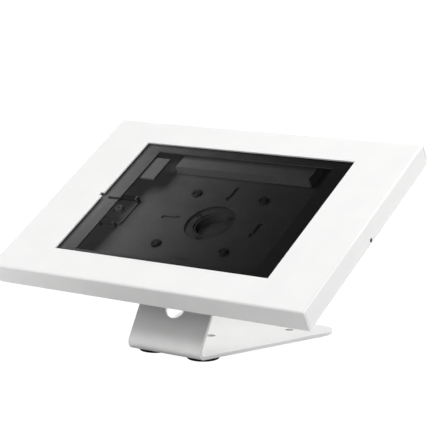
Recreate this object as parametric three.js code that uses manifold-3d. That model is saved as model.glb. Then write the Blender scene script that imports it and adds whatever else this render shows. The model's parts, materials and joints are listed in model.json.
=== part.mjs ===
// Countertop touchscreen kiosk: a lockable sheet-metal tablet enclosure on a bent-plate stand.
// Millimetres, +Z up, +X to the right, -Y towards the person who uses it.
// The stand is drawn in upright axes with the tabletop at Z = 0. Everything above the stand is
// drawn in the screen's own axes, with the middle of the cover's face at the origin, +Y up the
// face and +Z out of it, inside a group that tilts it back.
import * as THREE from 'three';
import { mergeVertices } from 'three/addons/utils/BufferGeometryUtils.js';
import Module from 'manifold-3d';

// ---- Driving dimensions ----

const TILT = 30;               // slope of the screen above horizontal, degrees
const RISER_SLOPE = 60;        // slope of the stand's front plate, degrees
const FACE_HEIGHT = 131.3;     // middle of the cover's face above the tabletop
const GAP = 0.3;               // air left between parts that touch

const coverSize = { width: 342.4, height: 232.4, depth: 20.3, sheet: 1.5, bend: 3.5, clippedCorner: 6 };
const screenWindow = { left: -117.8, right: 117.2, bottom: -82.4, top: 83.2 };
const cameraNotch = { length: 3.5, height: 4.2 };
const mask = { width: 280, height: 208, top: -3.7, sheet: 1.5 };
const maskOpening = { left: -99.4, right: 97, bottom: -75.5, top: 75.5 };
const maskSlot = { left: -112.8, right: -98, height: 3.2 };
const seal = { setback: 2, width: 8 };
const maskFixing = { x: 133, y: 98, stud: 2, nut: 3.5, nutHeight: 3.2 };

const tray = { gap: 0.8, floor: -20.2, sheet: 1.2, bend: 2.5, rim: -8 };
const hubHole = 25;
const vesa = 75;
const vesaNutSize = { radius: 5.1, height: 1.8 };
const keyhole = { head: 4.3, slot: 2.4, length: 15.5 };
const ventSlot = { x: 1.5, y: -52.6, length: 17, height: 1.5 };

const foamHeight = 9.6;
const maskPad = { right: -82.4, bottom: 36.4, top: 67.8, height: 2.4 };
const pivot = { level: -17.5, pin: 1.6, shoulder: 2.3, trayHole: 2, coverHole: 2.1 };
const latchTravel = 4;
const latchScrew = { x: -104.2, shoulder: 3, head: 4.2, headHeight: 4, socket: 2.5 };
const springAxis = { y: 15.7, z: -16, radius: 2.4 };
const springEnds = { left: -113, right: -93.1 };

const turntable = { half: 58, corner: 8, sheet: 2, top: -24.4, bore: 24.8 };
const spacerBore = 30;
const roundSegments = 32;          // sides of the large rings and bores
const hub = { top: -22, flange: 29, flangeSheet: 1.2, boss: 24.3, spigot: 16.7, bore: 14.8,
  floorSheet: 1.2 };
const hubScrew = { circle: 20.8, shank: 1.7, head: 3.3, headDepth: 1.7 };
const hubCableLip = { x: -6.9, y: 7.4, radius: 15.2 };

const plate = { sheet: 3, bend: 4, width: 80, top: -28, headHalf: 37, cableHole: 17 };
const riserHole = { radius: 10.7, up: 35.3 };
const base = { front: -55, rear: 105.8, flare: 0.31, corner: 18, bolt: 4.2 };
const boltHoles = [[0, 12.5], [-47.5, 73], [47.5, 73]];
const foot = { radius: 15, height: 3.5 };
const feet = { front_left: [-26.8, -38.3], front_right: [26.8, -38.3],
  rear_left: [-60, 90], rear_right: [60, 90] };

// ---- Materials ----

const finish = (color, roughness, metalness) =>
  new THREE.MeshStandardMaterial({ color, roughness, metalness });
const whitePowder = finish(0xf4f4f2, 0.45, 0);
const blackPowder = finish(0x1b1b1c, 0.55, 0);
const greySteel = finish(0x4a4b4d, 0.45, 0.6);
const zinc = finish(0x8c8e90, 0.4, 0.8);
const blackSteel = finish(0x141414, 0.5, 0.5);
const foam = finish(0x2c2c2e, 0.95, 0);
const rubber = finish(0x151515, 0.85, 0);

// ---- Solids: closed geometries joined and cut with manifold-3d ----

const wasm = await Module();
wasm.setup();

function solid(geometry, place = new THREE.Matrix4()) {
  geometry.deleteAttribute('normal');
  geometry.deleteAttribute('uv');
  const merged = mergeVertices(geometry.applyMatrix4(place), 1e-4);
  const vertProperties = new Float32Array(merged.attributes.position.array);
  const triVerts = new Uint32Array(merged.index.array);
  return new wasm.Manifold(new wasm.Mesh({ numProp: 3, vertProperties, triVerts }));
}

function geometryOf(body) {
  const { vertProperties, triVerts } = body.getMesh();
  const geometry = new THREE.BufferGeometry();
  geometry.setAttribute('position', new THREE.BufferAttribute(vertProperties, 3));
  geometry.setIndex(new THREE.BufferAttribute(triVerts, 1));
  geometry.computeVertexNormals();
  return geometry;
}

function part(name, body, material, parent) {
  const mesh = new THREE.Mesh(geometryOf(body), material);
  mesh.name = name;
  parent.add(mesh);
  return mesh;
}

const at = (x, y, z) => new THREE.Matrix4().makeTranslation(x, y, z);

function box(low, high) {
  const size = high.map((value, i) => value - low[i]);
  const middle = high.map((value, i) => (value + low[i]) / 2);
  return solid(new THREE.BoxGeometry(...size), at(...middle));
}

// A flat outline in X and Y, from the low to the high level in Z.
function slab(shape, low, high, curveSegments = 6) {
  const settings = { depth: high - low, bevelEnabled: false, curveSegments };
  return solid(new THREE.ExtrudeGeometry(shape, settings), at(0, 0, low));
}

// A section drawn as (Y, Z), swept from the low to the high X.
function sweptAlongX(shape, low, high, curveSegments = 6) {
  const settings = { depth: high - low, bevelEnabled: false, curveSegments };
  const turn = new THREE.Matrix4().makeBasis(
    new THREE.Vector3(0, 1, 0), new THREE.Vector3(0, 0, 1), new THREE.Vector3(1, 0, 0));
  return solid(new THREE.ExtrudeGeometry(shape, settings), at(low, 0, 0).multiply(turn));
}

// A section drawn as (X, Z), swept from the low to the high Y.
function sweptAlongY(shape, low, high, curveSegments = 6) {
  const settings = { depth: high - low, bevelEnabled: false, curveSegments };
  const turn = new THREE.Matrix4().makeRotationX(Math.PI / 2);
  return solid(new THREE.ExtrudeGeometry(shape, settings), at(0, high, 0).multiply(turn));
}

// A turned piece about Z. Points are [radius, level], from the low end to the high end.
function turned(points, x = 0, y = 0, segments = 20) {
  const profile = points.map(([radius, level]) => new THREE.Vector2(radius, level));
  const upright = new THREE.Matrix4().makeRotationX(Math.PI / 2);
  return solid(new THREE.LatheGeometry(profile, segments), at(x, y, 0).multiply(upright));
}

const rod = (radius, low, high, x = 0, y = 0, segments = 20) =>
  turned([[0, low], [radius, low], [radius, high], [0, high]], x, y, segments);

// A rod about the screen's middle, with the finer sides of the large rings and bores.
const roundRod = (radius, low, high) => rod(radius, low, high, 0, 0, roundSegments);

// A round bar along X.
function barAlongX(radius, low, high, y, z, segments = 16) {
  const bar = new THREE.CylinderGeometry(radius, radius, high - low, segments);
  const turn = new THREE.Matrix4().makeRotationZ(Math.PI / 2);
  return solid(bar, at((low + high) / 2, y, z).multiply(turn));
}

function rectangle(left, bottom, right, top) {
  return polygon([[left, bottom], [right, bottom], [right, top], [left, top]]);
}

// A polygon whose corners can be rounded; a corner is [x, y] or [x, y, radius], anticlockwise.
function polygon(corners) {
  const shape = new THREE.Shape();
  corners.forEach(([x, y, radius = 0], i) => {
    const before = corners.at(i - 1);
    const after = corners[(i + 1) % corners.length];
    const here = new THREE.Vector2(x, y);
    const back = new THREE.Vector2(before[0], before[1]).sub(here).normalize();
    const on = new THREE.Vector2(after[0], after[1]).sub(here).normalize();
    const half = Math.acos(back.dot(on)) / 2;
    const start = here.clone().addScaledVector(back, radius / Math.tan(half));
    if (i === 0) shape.moveTo(start.x, start.y);
    else shape.lineTo(start.x, start.y);
    if (radius > 0) {
      const inward = back.clone().add(on).normalize();
      const centre = here.clone().addScaledVector(inward, radius / Math.sin(half));
      const end = here.clone().addScaledVector(on, radius / Math.tan(half));
      const from = Math.atan2(start.y - centre.y, start.x - centre.x);
      const to = Math.atan2(end.y - centre.y, end.x - centre.x);
      shape.absarc(centre.x, centre.y, radius, from, to, false);
    }
  });
  shape.closePath();
  return shape;
}

// ---- Front cover: a folded tray of white sheet, face up, with the screen window ----

// A folded box without a bottom: two rounded sections that cross each other.
function foldedBox(halfWidth, halfHeight, top, bottom, bend) {
  const section = (half) => polygon([[-half, bottom], [half, bottom], [half, top, bend],
    [-half, top, bend]]);
  const acrossWidth = sweptAlongY(section(halfWidth), -halfHeight - 1, halfHeight + 1);
  const acrossHeight = sweptAlongX(section(halfHeight), -halfWidth - 1, halfWidth + 1);
  return acrossWidth.intersect(acrossHeight);
}

// What a rounded corner takes off the free edge of two flanges that meet at one corner.
function clippedCorner(signX, signY) {
  const { width, height, depth, clippedCorner: r } = coverSize;
  const bite = (half) => {
    const shape = new THREE.Shape();
    shape.moveTo(half + 1, -depth - 1);
    shape.lineTo(half + 1, r - depth);
    shape.lineTo(half, r - depth);
    shape.absarc(half - r, r - depth, r, 0, -Math.PI / 2, true);
    shape.lineTo(half - r, -depth - 1);
    shape.closePath();
    return shape;
  };
  const reach = coverSize.sheet + 0.5;
  const endFlange = sweptAlongY(bite(width / 2), height / 2 - reach, height / 2 + 1);
  const sideFlange = sweptAlongX(bite(height / 2), width / 2 - reach, width / 2 + 1);
  return endFlange.add(sideFlange).scale([signX, signY, 1]);
}

function frontCover() {
  const { width, height, depth, sheet, bend } = coverSize;
  const outer = foldedBox(width / 2, height / 2, 0, -depth, bend);
  const inner = foldedBox(width / 2 - sheet, height / 2 - sheet, -sheet, -depth - 1, bend - sheet);
  const { left, bottom, right, top } = screenWindow;
  const opening = slab(rectangle(left, bottom, right, top), -depth, 1);
  const notch = slab(rectangle(left - cameraNotch.length, -cameraNotch.height / 2, left + 1,
    cameraNotch.height / 2), -sheet - 1, 1);
  let cover = outer.subtract(inner).subtract(opening).subtract(notch);
  // the folded corners stay open by a hairline, along the end of the top and bottom flanges
  for (const side of [-1, 1]) {
    for (const end of [-1, 1]) {
      const edge = end * (height / 2 - sheet - 0.25);
      const x = side * (width / 2 - sheet / 2);
      cover = cover.subtract(box([x - sheet, edge - 0.25, -depth - 1], [x + sheet, edge + 0.25, -bend]));
    }
  }
  cover = cover.subtract(clippedCorner(-1, -1)).subtract(clippedCorner(1, 1));
  // one hole in each side flange, for the fixed pin and for the latch pin
  return cover.subtract(barAlongX(pivot.coverHole, -width, width, 0, pivot.level, 20));
}

// ---- Mask: the black frame behind the window that hides the tablet's edge ----

function maskFrame() {
  const { width, height, top, sheet } = mask;
  const frame = slab(rectangle(-width / 2, -height / 2, width / 2, height / 2), top - sheet, top);
  const opening = slab(rectangle(maskOpening.left, maskOpening.bottom, maskOpening.right,
    maskOpening.top), top - sheet - 1, top + 1);
  const slot = box([maskSlot.left, -maskSlot.height / 2, top - sheet - 1],
    [maskSlot.right, maskSlot.height / 2, top + 1]);
  let cut = frame.subtract(opening).subtract(slot);
  for (const [x, y] of maskCorners) {
    cut = cut.subtract(rod(maskFixing.stud + GAP, top - sheet - 1, top + 1, x, y, 16));
  }
  return cut;
}

const maskCorners = [[-1, -1], [1, -1], [1, 1], [-1, 1]]
  .map(([x, y]) => [x * maskFixing.x, y * maskFixing.y]);

// Foam strips that keep dust out between the cover and the mask, set back from the window's edge.
function sealStrips() {
  const { setback, width } = seal;
  const left = screenWindow.left - setback - cameraNotch.length;
  const right = screenWindow.right + setback;
  const bottom = screenWindow.bottom - setback;
  const top = screenWindow.top + setback;
  const low = mask.top + GAP;
  const high = -coverSize.sheet - GAP;
  return {
    seal_strip_top: box([left - width, top, low], [right + width, top + width, high]),
    seal_strip_bottom: box([left - width, bottom - width, low], [right + width, bottom, high]),
    seal_strip_left: box([left - width, bottom + GAP, low], [left, top - GAP, high]),
    seal_strip_right: box([right, bottom + GAP, low], [right + width, top - GAP, high]),
  };
}

function maskStud(x, y) {
  const low = mask.top - mask.sheet - maskFixing.nutHeight - 1.5;
  return rod(maskFixing.stud, low, -coverSize.sheet - GAP, x, y, 16);
}

function hexNut(x, y, low, high, acrossCorners, bore) {
  return rod(acrossCorners, low, high, x, y, 6).subtract(rod(bore, low - 1, high + 1, x, y, 16));
}

function maskNut(x, y) {
  const high = mask.top - mask.sheet - GAP;
  return hexNut(x, y, high - maskFixing.nutHeight, high, maskFixing.nut * 1.15, maskFixing.stud + GAP);
}

// ---- Back tray: black sheet, closed below, that the cover drops over ----

const trayHalfX = coverSize.width / 2 - coverSize.sheet - tray.gap;
const trayHalfY = coverSize.height / 2 - coverSize.sheet - tray.gap;

function keyholeCut(x, y, angle) {
  const { head, slot, length } = keyhole;
  const low = tray.floor - tray.sheet - 1;
  const high = tray.floor + 1;
  const shaft = box([0, -slot, low], [length, slot, high]).add(rod(slot, low, high, length, 0, 16));
  return rod(head, low, high).add(shaft).rotate([0, 0, angle]).translate([x, y, 0]);
}

function backTray() {
  const under = tray.floor - tray.sheet;
  const shell = (halfX, halfY, low, high, bend) => {
    const upright = foldedBox(halfX, halfY, -low, -high, bend);
    return upright.rotate([180, 0, 0]);
  };
  const outer = shell(trayHalfX, trayHalfY, under, tray.rim, tray.bend);
  const inner = shell(trayHalfX - tray.sheet, trayHalfY - tray.sheet, tray.floor, tray.rim + 1,
    tray.bend - tray.sheet);
  let body = outer.subtract(inner).subtract(roundRod(hubHole, under - 1, tray.floor + 1));
  for (const [x, y] of vesaPoints) {
    body = body.subtract(rod(2.3, under - 1, tray.floor + 1, x, y, 16));
  }
  const half = ventSlot.height / 2;
  body = body.subtract(box([ventSlot.x - ventSlot.length / 2, ventSlot.y - half, under - 1],
    [ventSlot.x + ventSlot.length / 2, ventSlot.y + half, tray.floor + 1]));
  body = body.subtract(keyholeCut(-37.7, 0, 180)).subtract(keyholeCut(1, 37, 90))
    .subtract(keyholeCut(53, -9, 90));
  body = body.subtract(rod(latchFoot + GAP, under - 1, tray.floor + 1, latchScrew.x, 0, 16));
  return body.subtract(barAlongX(pivot.trayHole, -coverSize.width, coverSize.width, 0, pivot.level));
}

const vesaPoints = [[-1, 1], [1, 1], [1, -1], [-1, -1]].map(([x, y]) => [x * vesa / 2, y * vesa / 2]);

// Foam pads on the tray floor that press the tablet up against the mask.
function foamPads() {
  const low = tray.floor + GAP;
  const high = low + foamHeight;
  return {
    foam_bar_top: box([-76, 63.4, low], [76, 88, high]),
    foam_bar_bottom: box([-76, -94, low], [76, -69.5, high]),
    foam_block_right: box([92, 39, low], [118, 70.8, high]),
  };
}

// A thin foam pad stuck under the mask that holds the tablet's upper left corner down.
function maskPadBody() {
  const high = mask.top - mask.sheet - GAP;
  return box([-112, maskPad.bottom, high - maskPad.height],
    [maskPad.right, maskPad.top, high]);
}

// The pin the cover tips on: a shouldered stud in the tray's right wall, end flush with the cover.
function pivotPin() {
  const wall = trayHalfX - tray.sheet;
  const shoulder = barAlongX(pivot.shoulder, wall - GAP - 6, wall - GAP, 0, pivot.level);
  const pin = barAlongX(pivot.pin, wall - GAP - 0.5, coverSize.width / 2 - 0.1, 0, pivot.level);
  return shoulder.add(pin);
}

// ---- Latch: a sprung slide whose pin shoots into the cover's left flange ----

const latchFoot = 1.5;
const slideLevel = { low: tray.floor + GAP, high: tray.floor + GAP + 1.2 };
const slideEdges = { right: -91.3, wideLeft: -108, lower: -20.4, upper: 18, tongueLeft: -150, tongue: 12 };

function latchSlide() {
  const { right, wideLeft, lower, upper, tongueLeft, tongue } = slideEdges;
  const outline = polygon([[tongueLeft, -tongue], [wideLeft, -tongue], [wideLeft, lower],
    [right, lower, 5], [right, upper], [wideLeft, upper], [wideLeft, tongue], [tongueLeft, tongue]]);
  const sheet = slab(outline, slideLevel.low, slideLevel.high);
  const reach = latchScrew.shoulder + GAP;
  const slotLeft = latchScrew.x - latchTravel - reach;
  const slotRight = latchScrew.x + latchTravel + reach;
  const round = reach - 0.01;
  const slot = slab(polygon([[slotLeft, -reach, round], [slotRight, -reach, round],
    [slotRight, reach, round], [slotLeft, reach, round]]), slideLevel.low - 1, slideLevel.high + 1);
  const lug = box([springEnds.right + GAP, springAxis.y - 3, slideLevel.low],
    [right, upper, springAxis.z + 3]);
  const tip = -coverSize.width / 2 + latchTravel + 0.1;
  const pin = barAlongX(pivot.pin, tip, tongueLeft + 12, 0, pivot.level);
  return sheet.subtract(slot).add(lug).add(pin);
}

function latchShoulderScrew() {
  const { x, shoulder, head, headHeight, socket } = latchScrew;
  const under = slideLevel.high + GAP;
  const top = under + headHeight;
  const body = turned([[0, tray.floor - tray.sheet + 0.1], [latchFoot, tray.floor - tray.sheet + 0.1],
    [latchFoot, slideLevel.low], [shoulder, slideLevel.low], [shoulder, under], [head, under],
    [head, top - 0.4], [head - 0.4, top], [0, top]], x, 0, 24);
  return body.subtract(rod(socket * 1.15, top - 2, top + 1, x, 0, 6));
}

// The spring between the tray's anchor and the slide's lug, as its outer envelope with open ends.
function latchSpring() {
  const { y, z, radius } = springAxis;
  const coil = barAlongX(radius, springEnds.left, springEnds.right, y, z, 14);
  return coil.subtract(barAlongX(radius - 0.7, springEnds.left - 1, springEnds.right + 1, y, z, 14));
}

function springAnchor() {
  const right = springEnds.left - GAP;
  const low = tray.floor + GAP;
  const upright = box([right - 1.4, springAxis.y - 3, low],
    [right, springAxis.y + 3, springAxis.z + 3]);
  return upright.add(box([right - 9, springAxis.y - 3, low], [right - 1, springAxis.y + 3, low + 1.4]));
}

// A bridge that guides the slide's lower edge.
function latchGuide() {
  const low = tray.floor + GAP;
  const top = low + 6.2;
  const bar = box([-113, -24.6, low], [-94, -21, top]);
  return bar.subtract(box([-111.4, -25, low - 1], [-95.6, -20, top - 1.6]));
}

// ---- Turntable plate under the tray, on the 75 mm square of screws ----

function turntablePlate() {
  const { half, corner, sheet, top, bore } = turntable;
  const outline = polygon([[-half, -half, corner], [half, -half, corner], [half, half, corner],
    [-half, half, corner]]);
  let sheetBody = slab(outline, top - sheet, top, 5).subtract(roundRod(bore, top - sheet - 1, top + 1));
  for (const [x, y] of vesaPoints) {
    sheetBody = sheetBody.subtract(vesaBolt(x, y, GAP));
  }
  return sheetBody;
}

// A countersunk screw with its head flush under the turntable plate; grow widens it for its hole.
function vesaBolt(x, y, grow = 0) {
  const under = turntable.top - turntable.sheet;
  const end = tray.floor + GAP + vesaNutSize.height - 0.4;
  return turned([[0, under - grow], [3.7 + grow, under - grow], [1.9 + grow, under + 1.7],
    [1.9 + grow, end + grow], [0, end + grow]], x, y, 16);
}

// The plate that holds the tray clear of the hub's flange.
function spacerPlate() {
  const low = turntable.top + GAP;
  const high = tray.floor - tray.sheet - GAP;
  const half = turntable.half - 1;
  let body = slab(rectangle(-half, -half, half, half), low, high)
    .subtract(roundRod(spacerBore, low - 1, high + 1));
  for (const [x, y] of vesaPoints) {
    body = body.subtract(rod(2.3, low - 1, high + 1, x, y, 16));
  }
  return body;
}

function vesaNut(x, y) {
  const low = tray.floor + GAP;
  const { radius, height } = vesaNutSize;
  const ring = turned([[0, low], [radius, low], [radius, low + height - 0.6],
    [radius - 0.8, low + height], [0, low + height]], x, y, 24);
  return ring.subtract(rod(1.9 + GAP, low - 1, low + 4, x, y, 16));
}

// ---- Swivel hub: the fixed flange the turntable plate turns under ----

const headTop = plate.top;
const hubScrewPoints = [30, 150, 270].map((degrees) => {
  const angle = THREE.MathUtils.degToRad(degrees);
  return [hubScrew.circle * Math.cos(angle), hubScrew.circle * Math.sin(angle)];
});

function swivelHub() {
  const { top, flange, flangeSheet, boss, spigot, bore, floorSheet } = hub;
  const seat = headTop + GAP;
  const low = headTop - plate.sheet;
  const step = bore + 2.2;
  let body = turned([[0, low], [spigot, low], [spigot, seat], [boss, seat], [boss, top - flangeSheet],
    [flange, top - flangeSheet], [flange, top], [0, top]], 0, 0, roundSegments);
  body = body.subtract(roundRod(step, top - 1.2, top + 1))
    .subtract(roundRod(bore, low + floorSheet, top + 1));
  // the cup's floor leaves a crescent open on its low side, where the tablet's lead goes through
  const lip = roundRod(hubCableLip.radius, low - 2, low + floorSheet + 1);
  const crescent = roundRod(bore, low - 1, low + floorSheet + 0.5)
    .subtract(lip.translate([hubCableLip.x, hubCableLip.y, 0]));
  body = body.subtract(crescent);
  for (const [x, y] of hubScrewPoints) {
    body = body.subtract(hubScrewBody(x, y, GAP));
  }
  return body;
}

// A countersunk screw from the hub's face into the stand; grow widens it for its hole.
function hubScrewBody(x, y, grow = 0) {
  const { shank, head, headDepth } = hubScrew;
  const low = headTop - plate.sheet + 0.2;
  return turned([[0, low - grow * 3], [shank + grow, low - grow * 3], [shank + grow, hub.top - headDepth],
    [head + grow, hub.top], [head + grow, hub.top + grow * 3], [0, hub.top + grow * 3]], x, y, 16);
}

const ring = (inner, outer, low, high) =>
  roundRod(outer, low, high).subtract(roundRod(inner, low - 1, high + 1));

// ---- Stand: one bent plate with a flared base, a leaning riser and the head plate ----

const radians = THREE.MathUtils.degToRad;
const outerBend = plate.bend + plate.sheet;
const lift = foot.height;

// Where the riser's front face starts, above the front bend.
const riserStart = {
  y: base.front - outerBend * Math.sin(radians(RISER_SLOPE)),
  z: lift + outerBend * (1 + Math.cos(radians(RISER_SLOPE))),
};

// How far up the riser's front face meets the plane of the head plate's top.
function riserLength() {
  const normal = [-Math.sin(radians(TILT)), Math.cos(radians(TILT))];
  const climb = normal[0] * Math.cos(radians(RISER_SLOPE)) + normal[1] * Math.sin(radians(RISER_SLOPE));
  const start = normal[0] * riserStart.y + normal[1] * (riserStart.z - FACE_HEIGHT);
  return (plate.top - start) / climb;
}

// The section of the front bend, riser and head plate, as one strip of constant thickness.
function bentStrip() {
  const shape = new THREE.Shape();
  const rise = [Math.cos(radians(RISER_SLOPE)), Math.sin(radians(RISER_SLOPE))];
  const fall = [Math.cos(radians(TILT)), Math.sin(radians(TILT))];
  const knee = [riserStart.y + riserLength() * rise[0], riserStart.z + riserLength() * rise[1]];
  const kneeTrim = outerBend * Math.tan(radians(RISER_SLOPE - TILT) / 2);
  const kneeCentre = {
    y: knee[0] - kneeTrim * rise[0] + outerBend * rise[1],
    z: knee[1] - kneeTrim * rise[1] - outerBend * rise[0],
  };
  const frontCentre = { y: base.front, z: lift + outerBend };
  const riserTurn = radians(90 + RISER_SLOPE);
  const headTurn = radians(90 + TILT);
  const headEnd = plate.headHalf * 2 - kneeTrim;
  const overlap = 1;
  const tip = (radius) => [kneeCentre.y + radius * Math.cos(headTurn) + headEnd * fall[0],
    kneeCentre.z + radius * Math.sin(headTurn) + headEnd * fall[1]];
  shape.moveTo(base.front + overlap, lift);
  shape.absarc(frontCentre.y, frontCentre.z, outerBend, -Math.PI / 2, riserTurn, true);
  shape.absarc(kneeCentre.y, kneeCentre.z, outerBend, riserTurn, headTurn, true);
  shape.lineTo(...tip(outerBend));
  shape.lineTo(...tip(plate.bend));
  shape.absarc(kneeCentre.y, kneeCentre.z, plate.bend, headTurn, riserTurn, false);
  shape.absarc(frontCentre.y, frontCentre.z, plate.bend, riserTurn, Math.PI * 1.5, false);
  shape.lineTo(base.front + overlap, lift + plate.sheet);
  shape.closePath();
  return shape;
}

// Moves a solid from the screen's axes to the stand's axes.
const toStand = (body) => body.rotate([TILT, 0, 0]).translate([0, 0, FACE_HEIGHT]);

function standBracket() {
  const half = plate.width / 2;
  const rearHalf = half + base.flare * (base.rear - base.front);
  const outline = polygon([[-half, base.front], [half, base.front], [rearHalf, base.rear, base.corner],
    [-rearHalf, base.rear, base.corner]]);
  let body = slab(outline, lift, lift + plate.sheet, 8).add(sweptAlongX(bentStrip(), -half, half, 7));
  for (const [x, y] of boltHoles) {
    body = body.subtract(rod(base.bolt, lift - 1, lift + plate.sheet + 1, x, y));
  }
  // the cable hole goes square through the riser
  const holeTool = rod(riserHole.radius, -10, 10, 0, 0, 32).rotate([RISER_SLOPE, 0, 0]);
  const along = riserHole.up;
  body = body.subtract(holeTool.translate([0, riserStart.y + along * Math.cos(radians(RISER_SLOPE)),
    riserStart.z + along * Math.sin(radians(RISER_SLOPE))]));
  let headCuts = rod(plate.cableHole, headTop - 5, headTop + 1, 0, 0, 32);
  for (const [x, y] of hubScrewPoints) {
    headCuts = headCuts.add(rod(hubScrew.shank + GAP, headTop - 5, headTop + 1, x, y, 16));
  }
  for (const side of [-1, 1]) {
    const corner = polygon([[half + 1, plate.headHalf + 1], [half - 10, plate.headHalf + 1],
      [half - 10, plate.headHalf], [half, plate.headHalf - 10], [half + 1, plate.headHalf - 10]]);
    headCuts = headCuts.add(slab(corner, headTop - 5, headTop + 1).scale([side, 1, 1]));
  }
  return body.subtract(toStand(headCuts));
}

function footDisc(x, y) {
  const top = lift - GAP;
  return turned([[0, 0], [foot.radius - 0.8, 0], [foot.radius, 0.8], [foot.radius, top], [0, top]],
    x, y, 32);
}

// ---- Assembly ----

const kiosk = new THREE.Group();
const stand = new THREE.Group();
const screen = new THREE.Group();
screen.rotation.x = radians(TILT);
screen.position.z = FACE_HEIGHT;
kiosk.add(stand, screen);

part('stand_bracket', standBracket(), whitePowder, stand);
for (const [corner, [x, y]] of Object.entries(feet)) {
  part(`foot_${corner}`, footDisc(x, y), rubber, stand);
}

part('swivel_hub', swivelHub(), blackSteel, screen);
hubScrewPoints.forEach(([x, y], i) => part(`hub_screw_${i + 1}`, hubScrewBody(x, y), blackSteel, screen));
const washerTop = hub.top - hub.flangeSheet - GAP;
const upperWasher = ring(hub.boss + GAP * 2, hub.flange, washerTop - 0.6, washerTop);
part('friction_washer_upper', upperWasher, foam, screen);
const washerLow = turntable.top - turntable.sheet - GAP;
const lowerWasher = ring(hub.boss + GAP * 2, 32, headTop + GAP, washerLow);
part('friction_washer_lower', lowerWasher, foam, screen);

part('turntable_plate', turntablePlate(), greySteel, screen);
part('spacer_plate', spacerPlate(), blackPowder, screen);
vesaPoints.forEach(([x, y], i) => {
  part(`vesa_bolt_${i + 1}`, vesaBolt(x, y), greySteel, screen);
  part(`vesa_nut_${i + 1}`, vesaNut(x, y), blackSteel, screen);
});

part('back_tray', backTray(), blackPowder, screen);
for (const [name, pad] of Object.entries(foamPads())) {
  part(name, pad, foam, screen);
}
part('pivot_pin', pivotPin(), blackSteel, screen);
part('spring_anchor', springAnchor(), blackPowder, screen);
part('latch_guide', latchGuide(), blackPowder, screen);
part('latch_shoulder_screw', latchShoulderScrew(), greySteel, screen);
part('latch_spring', latchSpring(), blackSteel, screen);
part('latch_slide', latchSlide(), blackPowder, screen);

part('front_cover', frontCover(), whitePowder, screen);
part('mask_frame', maskFrame(), blackPowder, screen);
part('mask_pad', maskPadBody(), foam, screen);
for (const [name, strip] of Object.entries(sealStrips())) {
  part(name, strip, foam, screen);
}
maskCorners.forEach(([x, y], i) => {
  part(`mask_stud_${i + 1}`, maskStud(x, y), zinc, screen);
  part(`mask_nut_${i + 1}`, maskNut(x, y), zinc, screen);
});

// The origin is the middle of the whole kiosk's footprint, on the tabletop.
const bounds = new THREE.Box3().setFromObject(kiosk, true);
kiosk.position.y = -(bounds.min.y + bounds.max.y) / 2;

const group = new THREE.Group();
group.add(kiosk);
export default group;
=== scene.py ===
"""Looks for the countertop touchscreen kiosk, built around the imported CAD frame."""
import json
import math

import bmesh
import bpy
from mathutils import Matrix, Vector, noise

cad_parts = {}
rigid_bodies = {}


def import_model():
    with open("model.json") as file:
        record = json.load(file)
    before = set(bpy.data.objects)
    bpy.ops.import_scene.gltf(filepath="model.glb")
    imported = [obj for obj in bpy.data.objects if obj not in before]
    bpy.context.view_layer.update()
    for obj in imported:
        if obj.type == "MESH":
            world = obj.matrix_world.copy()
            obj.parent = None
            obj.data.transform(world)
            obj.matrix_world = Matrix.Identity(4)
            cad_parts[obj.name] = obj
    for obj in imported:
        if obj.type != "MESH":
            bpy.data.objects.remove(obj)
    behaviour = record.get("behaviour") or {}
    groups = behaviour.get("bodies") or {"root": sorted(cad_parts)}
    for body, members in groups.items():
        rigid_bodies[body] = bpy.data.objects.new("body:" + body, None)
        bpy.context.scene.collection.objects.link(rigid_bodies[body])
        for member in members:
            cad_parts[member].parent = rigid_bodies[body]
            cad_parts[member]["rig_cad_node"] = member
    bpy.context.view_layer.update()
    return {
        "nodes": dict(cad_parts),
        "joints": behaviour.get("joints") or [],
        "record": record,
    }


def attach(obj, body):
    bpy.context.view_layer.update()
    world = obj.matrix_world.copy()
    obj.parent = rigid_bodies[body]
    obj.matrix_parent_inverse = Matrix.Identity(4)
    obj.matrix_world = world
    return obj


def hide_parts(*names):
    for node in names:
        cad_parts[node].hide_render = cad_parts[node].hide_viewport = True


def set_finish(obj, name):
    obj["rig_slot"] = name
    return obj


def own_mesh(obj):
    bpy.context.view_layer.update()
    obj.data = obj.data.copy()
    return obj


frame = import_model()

NODES = frame["nodes"]
JOINTS = {joint["name"]: joint for joint in frame["joints"]}
SLOT_OF = {row["node"]: row["material_slot"] for row in frame["record"]["subparts"]}
BODY_OF = {node: body for body, nodes in frame["record"]["behaviour"]["bodies"].items()
           for node in nodes}


MM = 0.001
scene = bpy.context.scene


# ---- Axes: everything is drawn in millimetres, in the screen's or the stand's own axes ----

def screen_axes():
    """From the screen's axes (origin at the middle of the cover's face, Z out of it) to the frame."""
    out = Vector(JOINTS["screen_swivel"]["axis"]).normalized()
    across = Vector((1, 0, 0))
    turn = Matrix((across, out.cross(across), out)).transposed()
    cover = [turn.transposed() @ v.co for v in NODES["front_cover"].data.vertices]
    middle = [(min(p[i] for p in cover) + max(p[i] for p in cover)) / 2 for i in (0, 1)]
    face = max(p[2] for p in cover)
    origin = turn @ Vector((*middle, face))
    return Matrix.Translation(origin) @ turn.to_4x4() @ Matrix.Scale(MM, 4)


SCREEN = screen_axes()
FACE_CENTRE = SCREEN.translation.copy()
STAND = Matrix.Translation((0, FACE_CENTRE.y, 0)) @ Matrix.Scale(MM, 4)
TO_STAND = STAND.inverted() @ SCREEN


def local_box(node, axes=SCREEN):
    """A CAD node's box in millimetres, in the given axes."""
    inverse = axes.inverted()
    points = [inverse @ v.co for v in NODES[node].data.vertices]
    low = [min(p[i] for p in points) for i in range(3)]
    high = [max(p[i] for p in points) for i in range(3)]
    return low, high


# ---- Mesh building ----

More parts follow.
